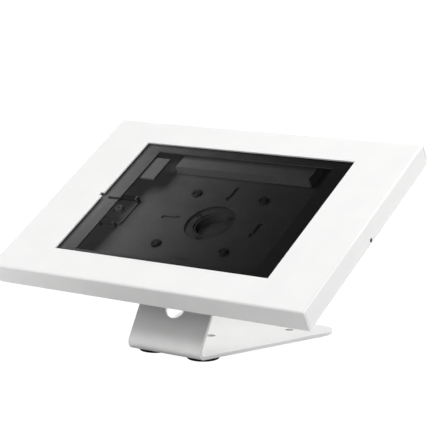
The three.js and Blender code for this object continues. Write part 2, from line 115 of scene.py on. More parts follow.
def new_object(name, vertices, faces):
    mesh = bpy.data.meshes.new(name)
    mesh.from_pydata([tuple(v) for v in vertices], [], faces)
    form = bmesh.new()
    form.from_mesh(mesh)
    bmesh.ops.remove_doubles(form, verts=form.verts, dist=1e-4)
    bmesh.ops.recalc_face_normals(form, faces=form.faces)
    form.to_mesh(mesh)
    form.free()
    obj = bpy.data.objects.new(name, mesh)
    scene.collection.objects.link(obj)
    return obj


PLANES = {
    "xy": lambda a, b, along: (a, b, along),
    "yz": lambda a, b, along: (along, a, b),
    "xz": lambda a, b, along: (a, along, b),
}


def prism(points, low, high, plane="xy"):
    place = PLANES[plane]
    count = len(points)
    vertices = [place(a, b, level) for level in (low, high) for a, b in points]
    faces = [tuple(range(count)), tuple(range(count, 2 * count))]
    faces += [(i, (i + 1) % count, count + (i + 1) % count, count + i) for i in range(count)]
    return new_object("form", vertices, faces)


def block(low, high):
    return prism(rectangle(low[0], low[1], high[0], high[1]), low[2], high[2])


def revolve(profile, x=0.0, y=0.0, segments=48):
    """A turned form about Z; profile is (radius, level) from its low end to its high end."""
    count = len(profile)
    vertices = []
    for step in range(segments):
        angle = 2 * math.pi * step / segments
        vertices += [(x + r * math.cos(angle), y + r * math.sin(angle), z) for r, z in profile]
    faces = []
    for step in range(segments):
        after = (step + 1) % segments
        for i in range(count - 1):
            faces.append((step * count + i, after * count + i,
                          after * count + i + 1, step * count + i + 1))
    return new_object("form", vertices, faces)


def rod(radius, low, high, x=0.0, y=0.0, segments=48):
    return revolve([(0, low), (radius, low), (radius, high), (0, high)], x, y, segments)


def turn_to_x(obj, y, z):
    """Lays a form that was drawn about Z along X instead, through the given Y and Z."""
    turn = Matrix(((0, 0, 1), (1, 0, 0), (0, 1, 0))).to_4x4()
    obj.data.transform(Matrix.Translation((0, y, z)) @ turn)
    return obj


def arc(centre, radius, first, last, steps=14):
    return [(centre[0] + radius * math.cos(first + (last - first) * k / steps),
             centre[1] + radius * math.sin(first + (last - first) * k / steps))
            for k in range(steps + 1)]


def rectangle(left, bottom, right, top):
    return [(left, bottom), (right, bottom), (right, top), (left, top)]


def rounded(corners, steps=8):
    """A closed outline, anticlockwise; a corner is (x, y) or (x, y, radius)."""
    points = []
    for i, corner in enumerate(corners):
        here = Vector(corner[:2])
        radius = corner[2] if len(corner) > 2 else 0
        if not radius:
            points.append(tuple(here))
            continue
        back = (Vector(corners[i - 1][:2]) - here).normalized()
        on = (Vector(corners[(i + 1) % len(corners)][:2]) - here).normalized()
        half = math.acos(max(-1, min(1, back.dot(on)))) / 2
        start = here + back * radius / math.tan(half)
        centre = here + (back + on).normalized() * radius / math.sin(half)
        first = math.atan2(start.y - centre.y, start.x - centre.x)
        sweep = math.pi - 2 * half
        cross = back.x * on.y - back.y * on.x
        sign = -1 if cross > 0 else 1
        for step in range(steps + 1):
            angle = first + sign * sweep * step / steps
            points.append((centre.x + radius * math.cos(angle), centre.y + radius * math.sin(angle)))
    return points


def rounded_box(left, bottom, right, top, radius, steps):
    corners = rectangle(left, bottom, right, top)
    return rounded([(x, y, radius) for x, y in corners], steps)


def bake(obj):
    graph = bpy.context.evaluated_depsgraph_get()
    mesh = bpy.data.meshes.new_from_object(obj.evaluated_get(graph))
    obj.modifiers.clear()
    old = obj.data
    obj.data = mesh
    bpy.data.meshes.remove(old)
    return obj


def combine(obj, operation, tools):
    for tool in tools:
        modifier = obj.modifiers.new("combine", "BOOLEAN")
        modifier.operation = operation
        modifier.solver = "EXACT"
        modifier.object = tool
        bake(obj)
        bpy.data.objects.remove(tool)
    return obj


def cut(obj, *tools):
    return combine(obj, "DIFFERENCE", tools)


def join(obj, *others):
    return combine(obj, "UNION", others)


def common(obj, *others):
    return combine(obj, "INTERSECT", others)


def soften(obj, bevel, angle=35, segments=2):
    """Merges flat faces that a cut has split, then rounds the sharp edges a little."""
    form = bmesh.new()
    form.from_mesh(obj.data)
    bmesh.ops.remove_doubles(form, verts=form.verts, dist=2e-4)
    bmesh.ops.dissolve_limit(form, angle_limit=math.radians(0.3), verts=form.verts, edges=form.edges)
    form.to_mesh(obj.data)
    form.free()
    if bevel:
        modifier = obj.modifiers.new("bevel", "BEVEL")
        modifier.width = bevel
        modifier.segments = segments
        modifier.limit_method = "ANGLE"
        modifier.angle_limit = math.radians(angle)
        bake(obj)
    return obj


def show(obj, node, axes=SCREEN, bevel=0.2, angle=35, segments=2, smooth=38):
    """Finishes a form as the visible piece that stands for one CAD node."""
    soften(obj, bevel, angle, segments)
    obj.data.shade_smooth()
    obj.data.set_sharp_from_angle(angle=math.radians(smooth))
    obj.data.transform(axes)
    weigh = obj.modifiers.new("normals", "WEIGHTED_NORMAL")
    weigh.keep_sharp = True
    weigh.weight = 80
    bake(obj)
    obj.name = node + "_fine"
    obj.data.name = obj.name
    obj.data.materials.clear()
    finish = OWN_FINISH.get(node.rstrip("_0123456789"), FINISHES[SLOT_OF[node]])
    obj.data.materials.append(finish)
    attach(obj, BODY_OF[node])
    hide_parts(node)
    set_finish(obj, SLOT_OF[node])
    return obj


# ---- Materials ----

class Nodes:
    """A material's node tree, with short calls for what these finishes need."""

    def __init__(self, name, color, roughness, metallic=0.0):
        self.material = bpy.data.materials.new(name)
        self.material.use_nodes = True
        self.tree = self.material.node_tree
        self.shader = self.tree.nodes["Principled BSDF"]
        self.set(self.shader, "Base Color", (*color, 1))
        self.set(self.shader, "Roughness", roughness)
        self.set(self.shader, "Metallic", metallic)
        self.place = self.tree.nodes.new("ShaderNodeTexCoord").outputs["Object"]

    def set(self, node, socket, value):
        node.inputs[socket].default_value = value

    def link(self, source, target):
        self.tree.links.new(source, target)

    def stretched(self, scale):
        """Object coordinates scaled differently along X, Y and Z."""
        mapping = self.tree.nodes.new("ShaderNodeMapping")
        mapping.inputs["Scale"].default_value = scale
        self.link(self.place, mapping.inputs["Vector"])
        return mapping.outputs["Vector"]

    def noise(self, scale, detail=3.0, rough=0.5, place=None):
        node = self.tree.nodes.new("ShaderNodeTexNoise")
        self.set(node, "Scale", scale)
        self.set(node, "Detail", detail)
        self.set(node, "Roughness", rough)
        self.link(place or self.place, node.inputs["Vector"])
        return node.outputs["Fac"]

    def cells(self, scale):
        node = self.tree.nodes.new("ShaderNodeTexVoronoi")
        self.set(node, "Scale", scale)
        self.link(self.place, node.inputs["Vector"])
        return node.outputs["Distance"]

    def span(self, value, low, high, at=(0.3, 0.7)):
        node = self.tree.nodes.new("ShaderNodeMapRange")
        self.set(node, "From Min", at[0])
        self.set(node, "From Max", at[1])
        self.set(node, "To Min", low)
        self.set(node, "To Max", high)
        self.link(value, node.inputs["Value"])
        return node.outputs["Result"]

    def blend(self, value, first, second):
        node = self.tree.nodes.new("ShaderNodeMix")
        node.data_type = "RGBA"
        node.inputs[6].default_value = (*first, 1)
        node.inputs[7].default_value = (*second, 1)
        self.link(value, node.inputs[0])
        return node.outputs[2]

    def color(self, value, first, second, at=(0.3, 0.7)):
        mixed = self.blend(self.span(value, 0, 1, at), first, second)
        self.link(mixed, self.shader.inputs["Base Color"])

    def rough(self, value, low, high, at=(0.3, 0.7)):
        self.link(self.span(value, low, high, at), self.shader.inputs["Roughness"])

    def bump(self, value, distance, strength=1.0, over=None):
        node = self.tree.nodes.new("ShaderNodeBump")
        self.set(node, "Distance", distance)
        self.set(node, "Strength", strength)
        self.link(value, node.inputs["Height"])
        if over:
            self.link(over, node.inputs["Normal"])
        self.link(node.outputs["Normal"], self.shader.inputs["Normal"])
        return node.outputs["Normal"]


def white_powder():
    """White powder coat: an even fine orange peel, a trace of warmth and a soft gloss."""
    n = Nodes("white_powder_coat", (0.84, 0.84, 0.835), 0.42)
    n.set(n.shader, "Specular IOR Level", 0.5)
    n.color(n.noise(35, 3), (0.835, 0.835, 0.832), (0.862, 0.862, 0.855))
    n.rough(n.noise(140, 2), 0.36, 0.48)
    peel = n.bump(n.noise(900, 2, 0.45), 0.00006, 0.5)
    n.bump(n.noise(300, 1), 0.00005, 0.35, over=peel)
    return n.material


def black_powder():
    """Black powder coat: satin, with a fine grain that is a little coarser than the white."""
    n = Nodes("black_powder_coat", (0.02, 0.02, 0.02), 0.42)
    n.color(n.noise(60, 4), (0.0185, 0.0185, 0.019), (0.0225, 0.0225, 0.023))
    n.rough(n.noise(220, 3), 0.36, 0.52)
    grain = n.bump(n.noise(1500, 2, 0.6), 0.00008, 0.55)
    n.bump(n.noise(420, 2), 0.00006, 0.4, over=grain)
    return n.material


def dark_steel():
    """Blackened, lightly oiled steel: uneven browning and fine rubbed marks."""
    n = Nodes("black_steel", (0.03, 0.03, 0.03), 0.38, 0.75)
    n.color(n.noise(90, 5, 0.6), (0.022, 0.021, 0.021), (0.055, 0.053, 0.052))
    n.rough(n.noise(300, 4), 0.28, 0.5)
    n.bump(n.noise(1600, 3, 0.6), 0.00004, 0.4)
    return n.material


def grey_steel():
    """Dull plated sheet with a drawn grain along X."""
    n = Nodes("grey_steel", (0.2, 0.2, 0.205), 0.4, 0.85)
    grain = n.noise(1.0, 4, 0.65, n.stretched((60, 2400, 2400)))
    n.color(grain, (0.15, 0.15, 0.155), (0.25, 0.25, 0.255))
    n.rough(n.noise(120, 3), 0.32, 0.5)
    n.bump(grain, 0.00003, 0.5)
    return n.material


def phosphated_steel():
    """Phosphated and oiled steel: near black, dull, with cloudy patches."""
    n = Nodes("phosphated_steel", (0.03, 0.03, 0.03), 0.5, 0.2)
    n.color(n.noise(110, 5, 0.6), (0.014, 0.014, 0.014), (0.022, 0.0216, 0.0212))
    n.rough(n.noise(320, 4), 0.42, 0.62)
    n.bump(n.noise(1600, 3, 0.6), 0.00004, 0.4)
    return n.material


def plain_steel():
    """Unplated steel gone dull: dark, with a faint turned grain and stains."""
    n = Nodes("plain_steel", (0.08, 0.08, 0.082), 0.42, 0.8)
    n.color(n.noise(240, 4, 0.6), (0.045, 0.044, 0.043), (0.085, 0.085, 0.087))
    n.rough(n.noise(420, 3), 0.34, 0.55)
    n.bump(n.noise(1900, 2), 0.00003, 0.4)
    return n.material


def zinc_steel():
    """Bright zinc plate: faint yellow and blue patches and a turned grain."""
    n = Nodes("zinc_steel", (0.5, 0.5, 0.5), 0.32, 0.95)
    n.color(n.noise(170, 3), (0.46, 0.47, 0.5), (0.55, 0.54, 0.49))
    n.rough(n.noise(500, 3), 0.24, 0.42)
    n.bump(n.noise(2200, 2), 0.00003, 0.35)
    return n.material


def charcoal_foam():
    """Closed-cell foam: cut cells of about 0.4 mm, each painted darker in its middle where the bump dips
    (painted shade in the pores), and cloudy tone between them.
    """
    n = Nodes("dark_foam", (0.05, 0.05, 0.052), 0.95)
    n.set(n.shader, "Specular IOR Level", 0.3)
    n.set(n.shader, "Sheen Weight", 0.1)
    n.set(n.shader, "Sheen Roughness", 0.6)
    cells = n.cells(1900)
    # Painted shade: the colour is darkest at each cell's middle, where the bump below dips, standing in
    # for shade in the pores.
    n.color(cells, (0.008, 0.008, 0.0084), (0.0165, 0.0165, 0.017), (0.1, 0.6))
    n.rough(n.noise(90, 3), 0.88, 1.0)
    pores = n.bump(cells, 0.00022, 0.6)
    n.bump(n.noise(260, 3), 0.0002, 0.4, over=pores)
    return n.material


def washer_plastic():
    """Black acetal washer: satin, with a faint moulded mottle."""
    n = Nodes("friction_pad", (0.03, 0.03, 0.031), 0.45)
    n.color(n.noise(150, 3), (0.024, 0.024, 0.025), (0.038, 0.038, 0.04))
    n.rough(n.noise(380, 2), 0.38, 0.55)
    n.bump(n.noise(1200, 2), 0.00004, 0.3)
    return n.material


def foot_rubber():
    """Moulded rubber: matt, slightly bloomed."""
    n = Nodes("black_rubber", (0.014, 0.014, 0.014), 0.78)
    n.set(n.shader, "Specular IOR Level", 0.35)
    n.color(n.noise(130, 4), (0.010, 0.010, 0.010), (0.020, 0.020, 0.021))
    n.rough(n.noise(260, 3), 0.7, 0.88)
    n.bump(n.noise(1100, 3), 0.0001, 0.4)
    return n.material


FINISHES = {
    "white_powder_coat": white_powder(),
    "black_powder_coat": black_powder(),
    "black_steel": dark_steel(),
    "grey_steel": grey_steel(),
    "zinc_steel": zinc_steel(),
    "dark_foam": charcoal_foam(),
    "friction_pad": washer_plastic(),
    "black_rubber": foot_rubber(),
}
OWN_FINISH = {"vesa_bolt": plain_steel(), "swivel_hub": phosphated_steel()}


# ---- Dimensions of the shapes, in millimetres; a box is left, bottom, right, top ----

SHEET = 1.5
BEND = 2.2
CLIPPED = 6.0
WINDOW = (-117.8, -82.4, 117.2, 83.2)
NOTCH = (-121.3, -2.1, -116.8, 2.1)
MASK_OPENING = (-99.4, -75.5, 97.0, 75.5)
MASK_SLOT = (-112.8, -1.6, -98.0, 1.6)
MASK_POINTS = [(-133, -98), (133, -98), (133, 98), (-133, 98)]
TRAY_SHEET = 1.2
TRAY_BEND = 2.5
TRAY_BORE = 25
KEYHOLES = [(-37.7, 0, 180), (1, 37, 90), (53, -9, 90)]
VENT_SLOT = (-7, -53.35, 10, -51.85)
VESA = 37.5
VESA_POINTS = [(-VESA, VESA), (VESA, VESA), (VESA, -VESA), (-VESA, -VESA)]
FIXING_HOLE = 2.3
PLATE_CORNER = 8
PLATE_BORE = 24.8
SPACER_BORE = 30
HUB_CIRCLE = 20.8
HUB_POINTS = [(HUB_CIRCLE * math.cos(math.radians(a)), HUB_CIRCLE * math.sin(math.radians(a)))
              for a in (30, 150, 270)]
HUB_FLANGE, HUB_BOSS, HUB_SPIGOT, HUB_RECESS = 29, 24.3, 16.7, 17
HUB_BORE = 14.8
HUB_SHEET = 1.2
HUB_LIP = (15.2, -6.9, 7.4)
COVER_PIVOT_HOLE = 2.1
TRAY_PIVOT_HOLE = 2.0
SCREW_HOLE = 1.8
NUT_CORNER = 4.025
SLIDE = {"left": -150, "right": -91.3, "wide_left": -108, "lower": -20.4, "upper": 18, "tongue": 12}
SLIDE_SHEET = 1.2
SLIDE_TRAVEL = 4
SLOT_REACH = 3.3
GAP = 0.3

cover_low, cover_high = local_box("front_cover")
tray_low, tray_high = local_box("back_tray")
mask_low, mask_high = local_box("mask_frame")
hub_low, hub_high = local_box("swivel_hub")
pin_low, pin_high = local_box("pivot_pin")
slide_low, slide_high = local_box("latch_slide")
screw_low, screw_high = local_box("latch_shoulder_screw")
PIVOT_Z = (pin_low[2] + pin_high[2]) / 2
SCREW_X = (screw_low[0] + screw_high[0]) / 2
SLIDE_TOP = slide_low[2] + SLIDE_SHEET


# ---- Front cover ----

def folded_box(half_x, half_y, level, free, bend, steps=12):
    """An open box folded from sheet: two rounded sections that cross. free is the open side."""
    toward = 1 if free < level else -1

    def section(half):
        corners = [(-half, free), (half, free), (half, level, bend), (-half, level, bend)]
        return rounded(corners if toward > 0 else corners[::-1], steps)

    across = prism(section(half_x), -half_y - 1, half_y + 1, "xz")
    along = prism(section(half_y), -half_x - 1, half_x + 1, "yz")
    return common(across, along)


def corner_slits(body, half_x, half_y, sheet, half, low, high):
    """Opens the thin joint where two folded walls meet, at each corner."""
    for side in (-1, 1):
        for end in (-1, 1):
            edge = end * (half_y - sheet - half - 0.05)
            middle = side * (half_x - sheet / 2)
            cut(body, block((middle - sheet, edge - half, low), (middle + sheet, edge + half, high)))


def pivot_holes(body, half_x, radius):
    for side in (-1, 1):
        low, high = sorted((side * (half_x - 5), side * (half_x + 2)))
        cut(body, turn_to_x(rod(radius, low, high, segments=40), 0, PIVOT_Z))


def corner_bite(half, depth):
    """What is cut away at the free corner of a wall, as far as a quarter circle."""
    centre = (half - CLIPPED, depth + CLIPPED)
    outside = [(centre[0], depth - 1), (half + 1, depth - 1), (half + 1, centre[1]), (half, centre[1])]
    return outside + arc(centre, CLIPPED, math.radians(-9), math.radians(-90), 9)


def build_cover():
    half_x, half_y = cover_high[0], cover_high[1]
    depth = cover_low[2]
    body = folded_box(half_x, half_y, 0, depth, BEND, 14)
    inner = folded_box(half_x - SHEET, half_y - SHEET, -SHEET, depth - 1, BEND - SHEET, 12)
    cut(body, inner, prism(rectangle(*WINDOW), depth, 1), prism(rectangle(*NOTCH), -SHEET - 1, 1))
    corner_slits(body, half_x, half_y, SHEET, 0.2, depth - 1, -BEND)
    for sign in (-1, 1):
        for half, span, plane in ((half_x, half_y, "xz"), (half_y, half_x, "yz")):
            shape = [(sign * a, b) for a, b in corner_bite(half, depth)]
            low, high = sorted((sign * (span - SHEET - 0.5), sign * (span + 1)))
            cut(body, prism(shape, low, high, plane))
    pivot_holes(body, half_x, COVER_PIVOT_HOLE)
    return show(body, "front_cover", bevel=0.22, angle=50, smooth=32)


def build_mask():
    body = block(mask_low, mask_high)
    below, above = mask_low[2] - 1, mask_high[2] + 1
    cut(body, prism(rounded_box(*MASK_OPENING, 0.6, 4), below, above))
    left, bottom, right, top = MASK_SLOT
    cut(body, prism(rounded([(left, bottom, 1.3), (right, bottom), (right, top), (left, top, 1.3)], 6),
                    below, above))
    for x, y in MASK_POINTS:
        cut(body, rod(FIXING_HOLE, below, above, x, y, 32))
    return show(body, "mask_frame", bevel=0.2)


# ---- Foam ----

def build_foam(node, crown=0.35, rounding=0.9, step=3.0):
    """A cut foam pad inside its CAD box: softened edges, a faint crown and an uneven knife cut."""
    low, high = (Vector(c) for c in local_box(node))
    body = block(low, high)
    modifier = body.modifiers.new("bevel", "BEVEL")
    modifier.width = min(rounding, (high.z - low.z) * 0.35)
    modifier.segments = 3
    bake(body)
    form = bmesh.new()
    form.from_mesh(body.data)
    for axis in range(3):
        size = high[axis] - low[axis]
        count = max(1, int(size / step))
        normal = Vector((axis == 0, axis == 1, axis == 2))
        for i in range(1, count):
            place = low.copy()
            place[axis] = low[axis] + size * i / count
            bmesh.ops.bisect_plane(form, geom=form.verts[:] + form.edges[:] + form.faces[:],
                                   plane_co=place, plane_no=normal)
    form.normal_update()
    middle, half = (low + high) / 2, (high - low) / 2
    thin = min(1.0, (high.z - low.z) / 9)
    for v in form.verts:
        u = [(v.co[i] - middle[i]) / half[i] for i in range(3)]
        rise = (u[2] + 1) / 2
        dip = crown * thin * rise * max(abs(u[0]) ** 8, abs(u[1]) ** 4)
        wander = 0.5 + 0.5 * noise.noise(v.co * 0.09) + 0.25 * noise.noise(v.co * 0.45)
        v.co -= v.normal * max(0.0, wander) * 0.22 * thin
        v.co.z -= dip
    form.to_mesh(body.data)
    form.free()
    piece = show(body, node, bevel=0, smooth=60)
    return piece


# ---- Back tray ----

def keyhole(x, y, degrees, head=4.3, slot=2.4, length=15.5):
    """A cutter for a keyhole: a round head and a slot that ends in a half circle."""
    join_angle = math.asin(slot / head)
    points = arc((0, 0), head, join_angle, 2 * math.pi - join_angle, 30)
    points += arc((length, 0), slot, -math.pi / 2, math.pi / 2, 14)
    c, s = math.cos(math.radians(degrees)), math.sin(math.radians(degrees))
    outline = [(x + a * c - b * s, y + a * s + b * c) for a, b in points]
    return prism(outline, tray_low[2] - 1, tray_low[2] + TRAY_SHEET + 1)


def build_tray():
    half_x, half_y = tray_high[0], tray_high[1]
    under, rim = tray_low[2], tray_high[2]
    floor = under + TRAY_SHEET
    body = folded_box(half_x, half_y, under, rim, TRAY_BEND, 10)
    cut(body, folded_box(half_x - TRAY_SHEET, half_y - TRAY_SHEET, floor, rim + 1,
                         TRAY_BEND - TRAY_SHEET, 8))
    cut(body, rod(TRAY_BORE, under - 1, floor + 1, segments=120))
    cut(body, *[keyhole(*place) for place in KEYHOLES])
    cut(body, prism(rounded_box(*VENT_SLOT, 0.7, 5), under - 1, floor + 1))
    for x, y in VESA_POINTS:
        cut(body, rod(FIXING_HOLE, under - 1, floor + 1, x, y, 32))
    cut(body, rod(SCREW_HOLE, under - 1, floor + 1, SCREW_X, 0, 32))
    pivot_holes(body, half_x, TRAY_PIVOT_HOLE)
    corner_slits(body, half_x, half_y, TRAY_SHEET, 0.15, under + TRAY_BEND, rim + 1)
    return show(body, "back_tray", bevel=0.2, angle=50, smooth=32)


# ---- Fasteners ----

def thread(radius, low, high, pitch=0.8, depth=0.25):
    """Profile points of a threaded length, from its low end to its high end."""
    points = []
    level = low
    while level + pitch <= high + 1e-6:
        points += [(radius - depth, level), (radius, level + pitch * 0.45),
                   (radius, level + pitch * 0.55)]
        level += pitch
    return points + [(radius - depth, high)]


def hex_socket(obj, x, y, across, floor, top):
    return cut(obj, rod(across / math.sqrt(3), floor, top + 1, x, y, 6))


def build_vesa():
    for i, (x, y) in enumerate(VESA_POINTS, 1):
        low, high = (c[2] for c in local_box(f"vesa_nut_{i}"))
        ring = revolve([(2.2, low), (4.95, low), (5.1, low + 0.15), (5.1, high - 0.6), (4.9, high - 0.25),
                        (4.4, high - 0.05), (4.0, high), (2.9, high), (2.45, high - 0.35),
                        (2.2, high - 0.45), (2.2, low)], x, y, 64)
        show(ring, f"vesa_nut_{i}", bevel=0)
        low, high = (c[2] for c in local_box(f"vesa_bolt_{i}"))
        bolt = revolve([(0, low), (3.4, low), (3.7, low + 0.15), (1.85, low + 1.7)]
                       + thread(1.9, low + 2.2, high - 0.5, 0.7, 0.2)
                       + [(1.6, high - 0.1), (1.3, high), (0, high)], x, y, 40)
        hex_socket(bolt, x, y, 2.5, low - 1, low + 0.6)
        show(bolt, f"vesa_bolt_{i}", bevel=0)


def build_hub():
    low, high = hub_low[2], hub_high[2]
    seat = local_box("friction_washer_lower")[0][2]
    under_flange = high - HUB_SHEET
    floor = low + HUB_SHEET
    profile = [(0, low), (HUB_SPIGOT - 0.2, low), (HUB_SPIGOT, low + 0.2), (HUB_SPIGOT, seat),
               (HUB_BOSS - 0.2, seat), (HUB_BOSS, seat + 0.2), (HUB_BOSS, under_flange),
               (HUB_FLANGE - 0.3, under_flange), (HUB_FLANGE, under_flange + 0.25),
               (HUB_FLANGE, high - 0.3), (HUB_FLANGE - 0.3, high),
               (HUB_RECESS + 0.2, high), (HUB_RECESS, high - 0.2), (HUB_RECESS, high - 1.2),
               (HUB_BORE + 0.2, high - 1.2), (HUB_BORE, high - 1.4), (HUB_BORE, floor), (0, floor)]
    body = revolve(profile, segments=120)
    lip_radius, lip_x, lip_y = HUB_LIP
    crescent = cut(rod(HUB_BORE, low - 1, floor + 0.4, segments=120),
                   rod(lip_radius, low - 2, floor + 2, lip_x, lip_y, segments=120))
    cut(body, crescent)
    for x, y in HUB_POINTS:
        cut(body, revolve([(0, low - 1), (2, low - 1), (2, high - 1.7), (3.6, high), (3.6, high + 1),
                           (0, high + 1)], x, y, 40))
    show(body, "swivel_hub", bevel=0.12, angle=50)


def build_hub_screws():
    for i, (x, y) in enumerate(HUB_POINTS, 1):
        low, high = (c[2] for c in local_box(f"hub_screw_{i}"))
        screw = revolve([(0, low)] + thread(1.7, low, high - 2.4, 0.7, 0.2)
                        + [(1.6, high - 1.7), (3.2, high - 0.1), (3.1, high), (0, high)], x, y, 40)
        hex_socket(screw, x, y, 2.0, high - 1.2, high)
        show(screw, f"hub_screw_{i}", bevel=0)


def build_washers():
    ease = 0.12
    for node, inner, outer in (("friction_washer_upper", 24.9, 29), ("friction_washer_lower", 24.9, 32)):
        low, high = (c[2] for c in local_box(node))
        washer = revolve([(inner, low + ease), (inner + ease, low), (outer - ease, low),
                          (outer, low + ease), (outer, high - ease), (outer - ease, high),
                          (inner + ease, high), (inner, high - ease), (inner, low + ease)], segments=120)
        show(washer, node, bevel=0)


def build_turntable():
    low, high = local_box("turntable_plate")
    sheet = prism(rounded_box(low[0], low[1], high[0], high[1], PLATE_CORNER, 12), low[2], high[2])
    cut(sheet, rod(PLATE_BORE, low[2] - 1, high[2] + 1, segments=120))
    for x, y in VESA_POINTS:
        cut(sheet, revolve([(0, low[2] - 0.5), (4.2, low[2] - 0.5), (4.0, low[2]), (2.2, low[2] + 1.7),
                            (2.2, high[2] + 1), (0, high[2] + 1)], x, y, 40))
    show(sheet, "turntable_plate", bevel=0.2)


def build_spacer():
    low, high = local_box("spacer_plate")
    spacer = block(low, high)
    cut(spacer, rod(SPACER_BORE, low[2] - 1, high[2] + 1, segments=120))
    for x, y in VESA_POINTS:
        cut(spacer, rod(FIXING_HOLE, low[2] - 1, high[2] + 1, x, y, 32))
    show(spacer, "spacer_plate", bevel=0.15)


def build_mask_fixings():
    for i, (x, y) in enumerate(MASK_POINTS, 1):
        low, high = (c[2] for c in local_box(f"mask_stud_{i}"))
        stud = revolve([(0, low), (1.5, low), (1.75, low + 0.3)] + thread(2, low + 0.4, high - 1.4)
                       + [(1.9, high - 1.2), (2, high - 0.3), (2, high), (0, high)], x, y, 32)
        show(stud, f"mask_stud_{i}", bevel=0)
        low, high = (c[2] for c in local_box(f"mask_nut_{i}"))
        nut = rod(NUT_CORNER, low, high, x, y, 6)
        dome = revolve([(0, low - 0.4), (3.3, low - 0.1), (4.2, low + 0.6), (4.2, high - 0.6),
                        (3.3, high + 0.1), (0, high + 0.4)], x, y, 48)
        nut = common(nut, dome)
        cut(nut, rod(2.2, low - 1, high + 1, x, y, 32))
        show(nut, f"mask_nut_{i}", bevel=0.08)


# ---- Pivot, latch and spring ----

def build_pivot_pin():
    low, high = pin_low[0], pin_high[0]
    wall = tray_high[0] - TRAY_SHEET - GAP
    pin = revolve([(0, low), (2.1, low), (2.3, low + 0.2), (2.3, wall - 0.2), (2.1, wall), (1.6, wall),
                   (1.6, high - 0.3), (1.3, high), (0, high)], segments=40)
    show(turn_to_x(pin, 0, PIVOT_Z), "pivot_pin", bevel=0)


def build_slide():
    """The sprung slide: a stepped plate with the spring's lug and the locking pin."""
    low, high = slide_low, slide_high
    spring_low, spring_high = local_box("latch_spring")
    outline = rounded([(SLIDE["left"], -SLIDE["tongue"], 1.5), (SLIDE["wide_left"], -SLIDE["tongue"]),
                       (SLIDE["wide_left"], SLIDE["lower"], 2), (SLIDE["right"], SLIDE["lower"], 5),
                       (SLIDE["right"], SLIDE["upper"], 0.6),
                       (SLIDE["wide_left"], SLIDE["upper"], 1.2),
                       (SLIDE["wide_left"], SLIDE["tongue"]),
                       (SLIDE["left"], SLIDE["tongue"], 1.5)], 8)
    body = prism(outline, low[2], SLIDE_TOP)
    half_slot = SLIDE_TRAVEL + SLOT_REACH
    slot = rounded_box(SCREW_X - half_slot, -SLOT_REACH, SCREW_X + half_slot, SLOT_REACH,
                       SLOT_REACH - 0.01, 12)
    cut(body, prism(slot, low[2] - 1, SLIDE_TOP + 1))
    spring_y = (spring_low[1] + spring_high[1]) / 2
    lug = rounded([(spring_y - 3, low[2]), (SLIDE["upper"], low[2]), (SLIDE["upper"], high[2], 1.6),
                   (spring_y - 3, high[2], 1.6)], 8)
    join(body, prism(lug, spring_high[0] + GAP, SLIDE["right"], "yz"))
    pin_end = SLIDE["left"] + 12
    pin = revolve([(0, low[0]), (1.3, low[0]), (1.6, low[0] + 0.3), (1.6, pin_end), (0, pin_end)],
                  segments=40)
    join(body, turn_to_x(pin, 0, PIVOT_Z))
    show(body, "latch_slide", bevel=0.15, angle=50)


def build_guide():
    """The bridge that the slide runs under."""
    low, high = local_box("latch_guide")
    wall = 1.6
    section = rounded([(low[0], low[2]), (low[0] + wall, low[2]), (low[0] + wall, high[2] - wall, 0.8),
                       (high[0] - wall, high[2] - wall, 0.8), (high[0] - wall, low[2]),
                       (high[0], low[2]), (high[0], high[2], 2.2), (low[0], high[2], 2.2)][::-1], 8)
    show(prism(section, low[1], high[1], "xz"), "latch_guide", bevel=0.2, angle=50)


def build_anchor():
    """The bent bracket that holds the spring's fixed end."""
    low, high = local_box("spring_anchor")
    sheet = 1.4
    section = rounded([(low[0], low[2]), (high[0], low[2], 1.8), (high[0], high[2]),
                       (high[0] - sheet, high[2]), (high[0] - sheet, low[2] + sheet, 0.6),
                       (low[0], low[2] + sheet)], 6)
    show(prism(section, low[1], high[1], "xz"), "spring_anchor", bevel=0.15, angle=50)


def build_shoulder_screw():
    low, high = screw_low[2], screw_high[2]
    under = high - 4.0
    shoulder_low = SLIDE_TOP - SLIDE_SHEET
    profile = [(0, low), (1.3, low), (1.5, low + 0.2), (1.5, shoulder_low), (3, shoulder_low), (3, under),
               (3.95, under), (4.2, under + 0.25), (4.2, high - 0.7), (4.05, high - 0.3), (3.7, high),
               (0, high)]
    screw = revolve(profile, SCREW_X, 0, 64)
    hex_socket(screw, SCREW_X, 0, 4.2, high - 3, high)
    cut(screw, revolve([(0, high - 0.3), (2.2, high - 0.3), (2.6, high + 0.1), (2.6, high + 1),
                        (0, high + 1)], SCREW_X, 0, 48))
    show(screw, "latch_shoulder_screw", bevel=0.06, angle=50)


def build_spring():
    """The wound wire between the anchor and the slide's lug, with a closed coil at each end."""
    low, high = local_box("latch_spring")
    middle_y, middle_z = (low[1] + high[1]) / 2, (low[2] + high[2]) / 2
    wire = 0.36
    radius = (high[2] - low[2]) / 2 - wire
    turns, sides, per_turn = 10, 10, 28
    total = turns * per_turn
    dead = 1.2
    left, right = low[0] + wire + 0.02, high[0] - wire - 0.02
    tight = 2 * wire * 1.04
    free = (right - left - 2 * dead * tight) / (turns - 2 * dead)
    vertices = []
    for step in range(total + 1):
        t = step / per_turn
        angle = 2 * math.pi * t
        start, end = min(t, dead), max(0, t - (turns - dead))
        x = left + start * tight + end * tight + (t - start - end) * free
        out = Vector((0, math.cos(angle), math.sin(angle)))
        pitch = tight if t < dead or t > turns - dead else free
        ahead = Vector((pitch / (2 * math.pi * radius), -math.sin(angle), math.cos(angle))).normalized()
        aside = ahead.cross(out)
        centre = Vector((x, middle_y, middle_z)) + out * radius
        for side in range(sides):
            turn = 2 * math.pi * side / sides
            vertices.append(centre + (out * math.cos(turn) + aside * math.sin(turn)) * wire)
    faces = [tuple(range(sides)), tuple(range(total * sides, (total + 1) * sides))]
    for step in range(total):
        for side in range(sides):
            after = (side + 1) % sides
            faces.append((step * sides + side, step * sides + after,
                          (step + 1) * sides + after, (step + 1) * sides + side))
    spring = show(new_object("form", vertices, faces), "latch_spring", bevel=0, smooth=60)
    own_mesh(spring)


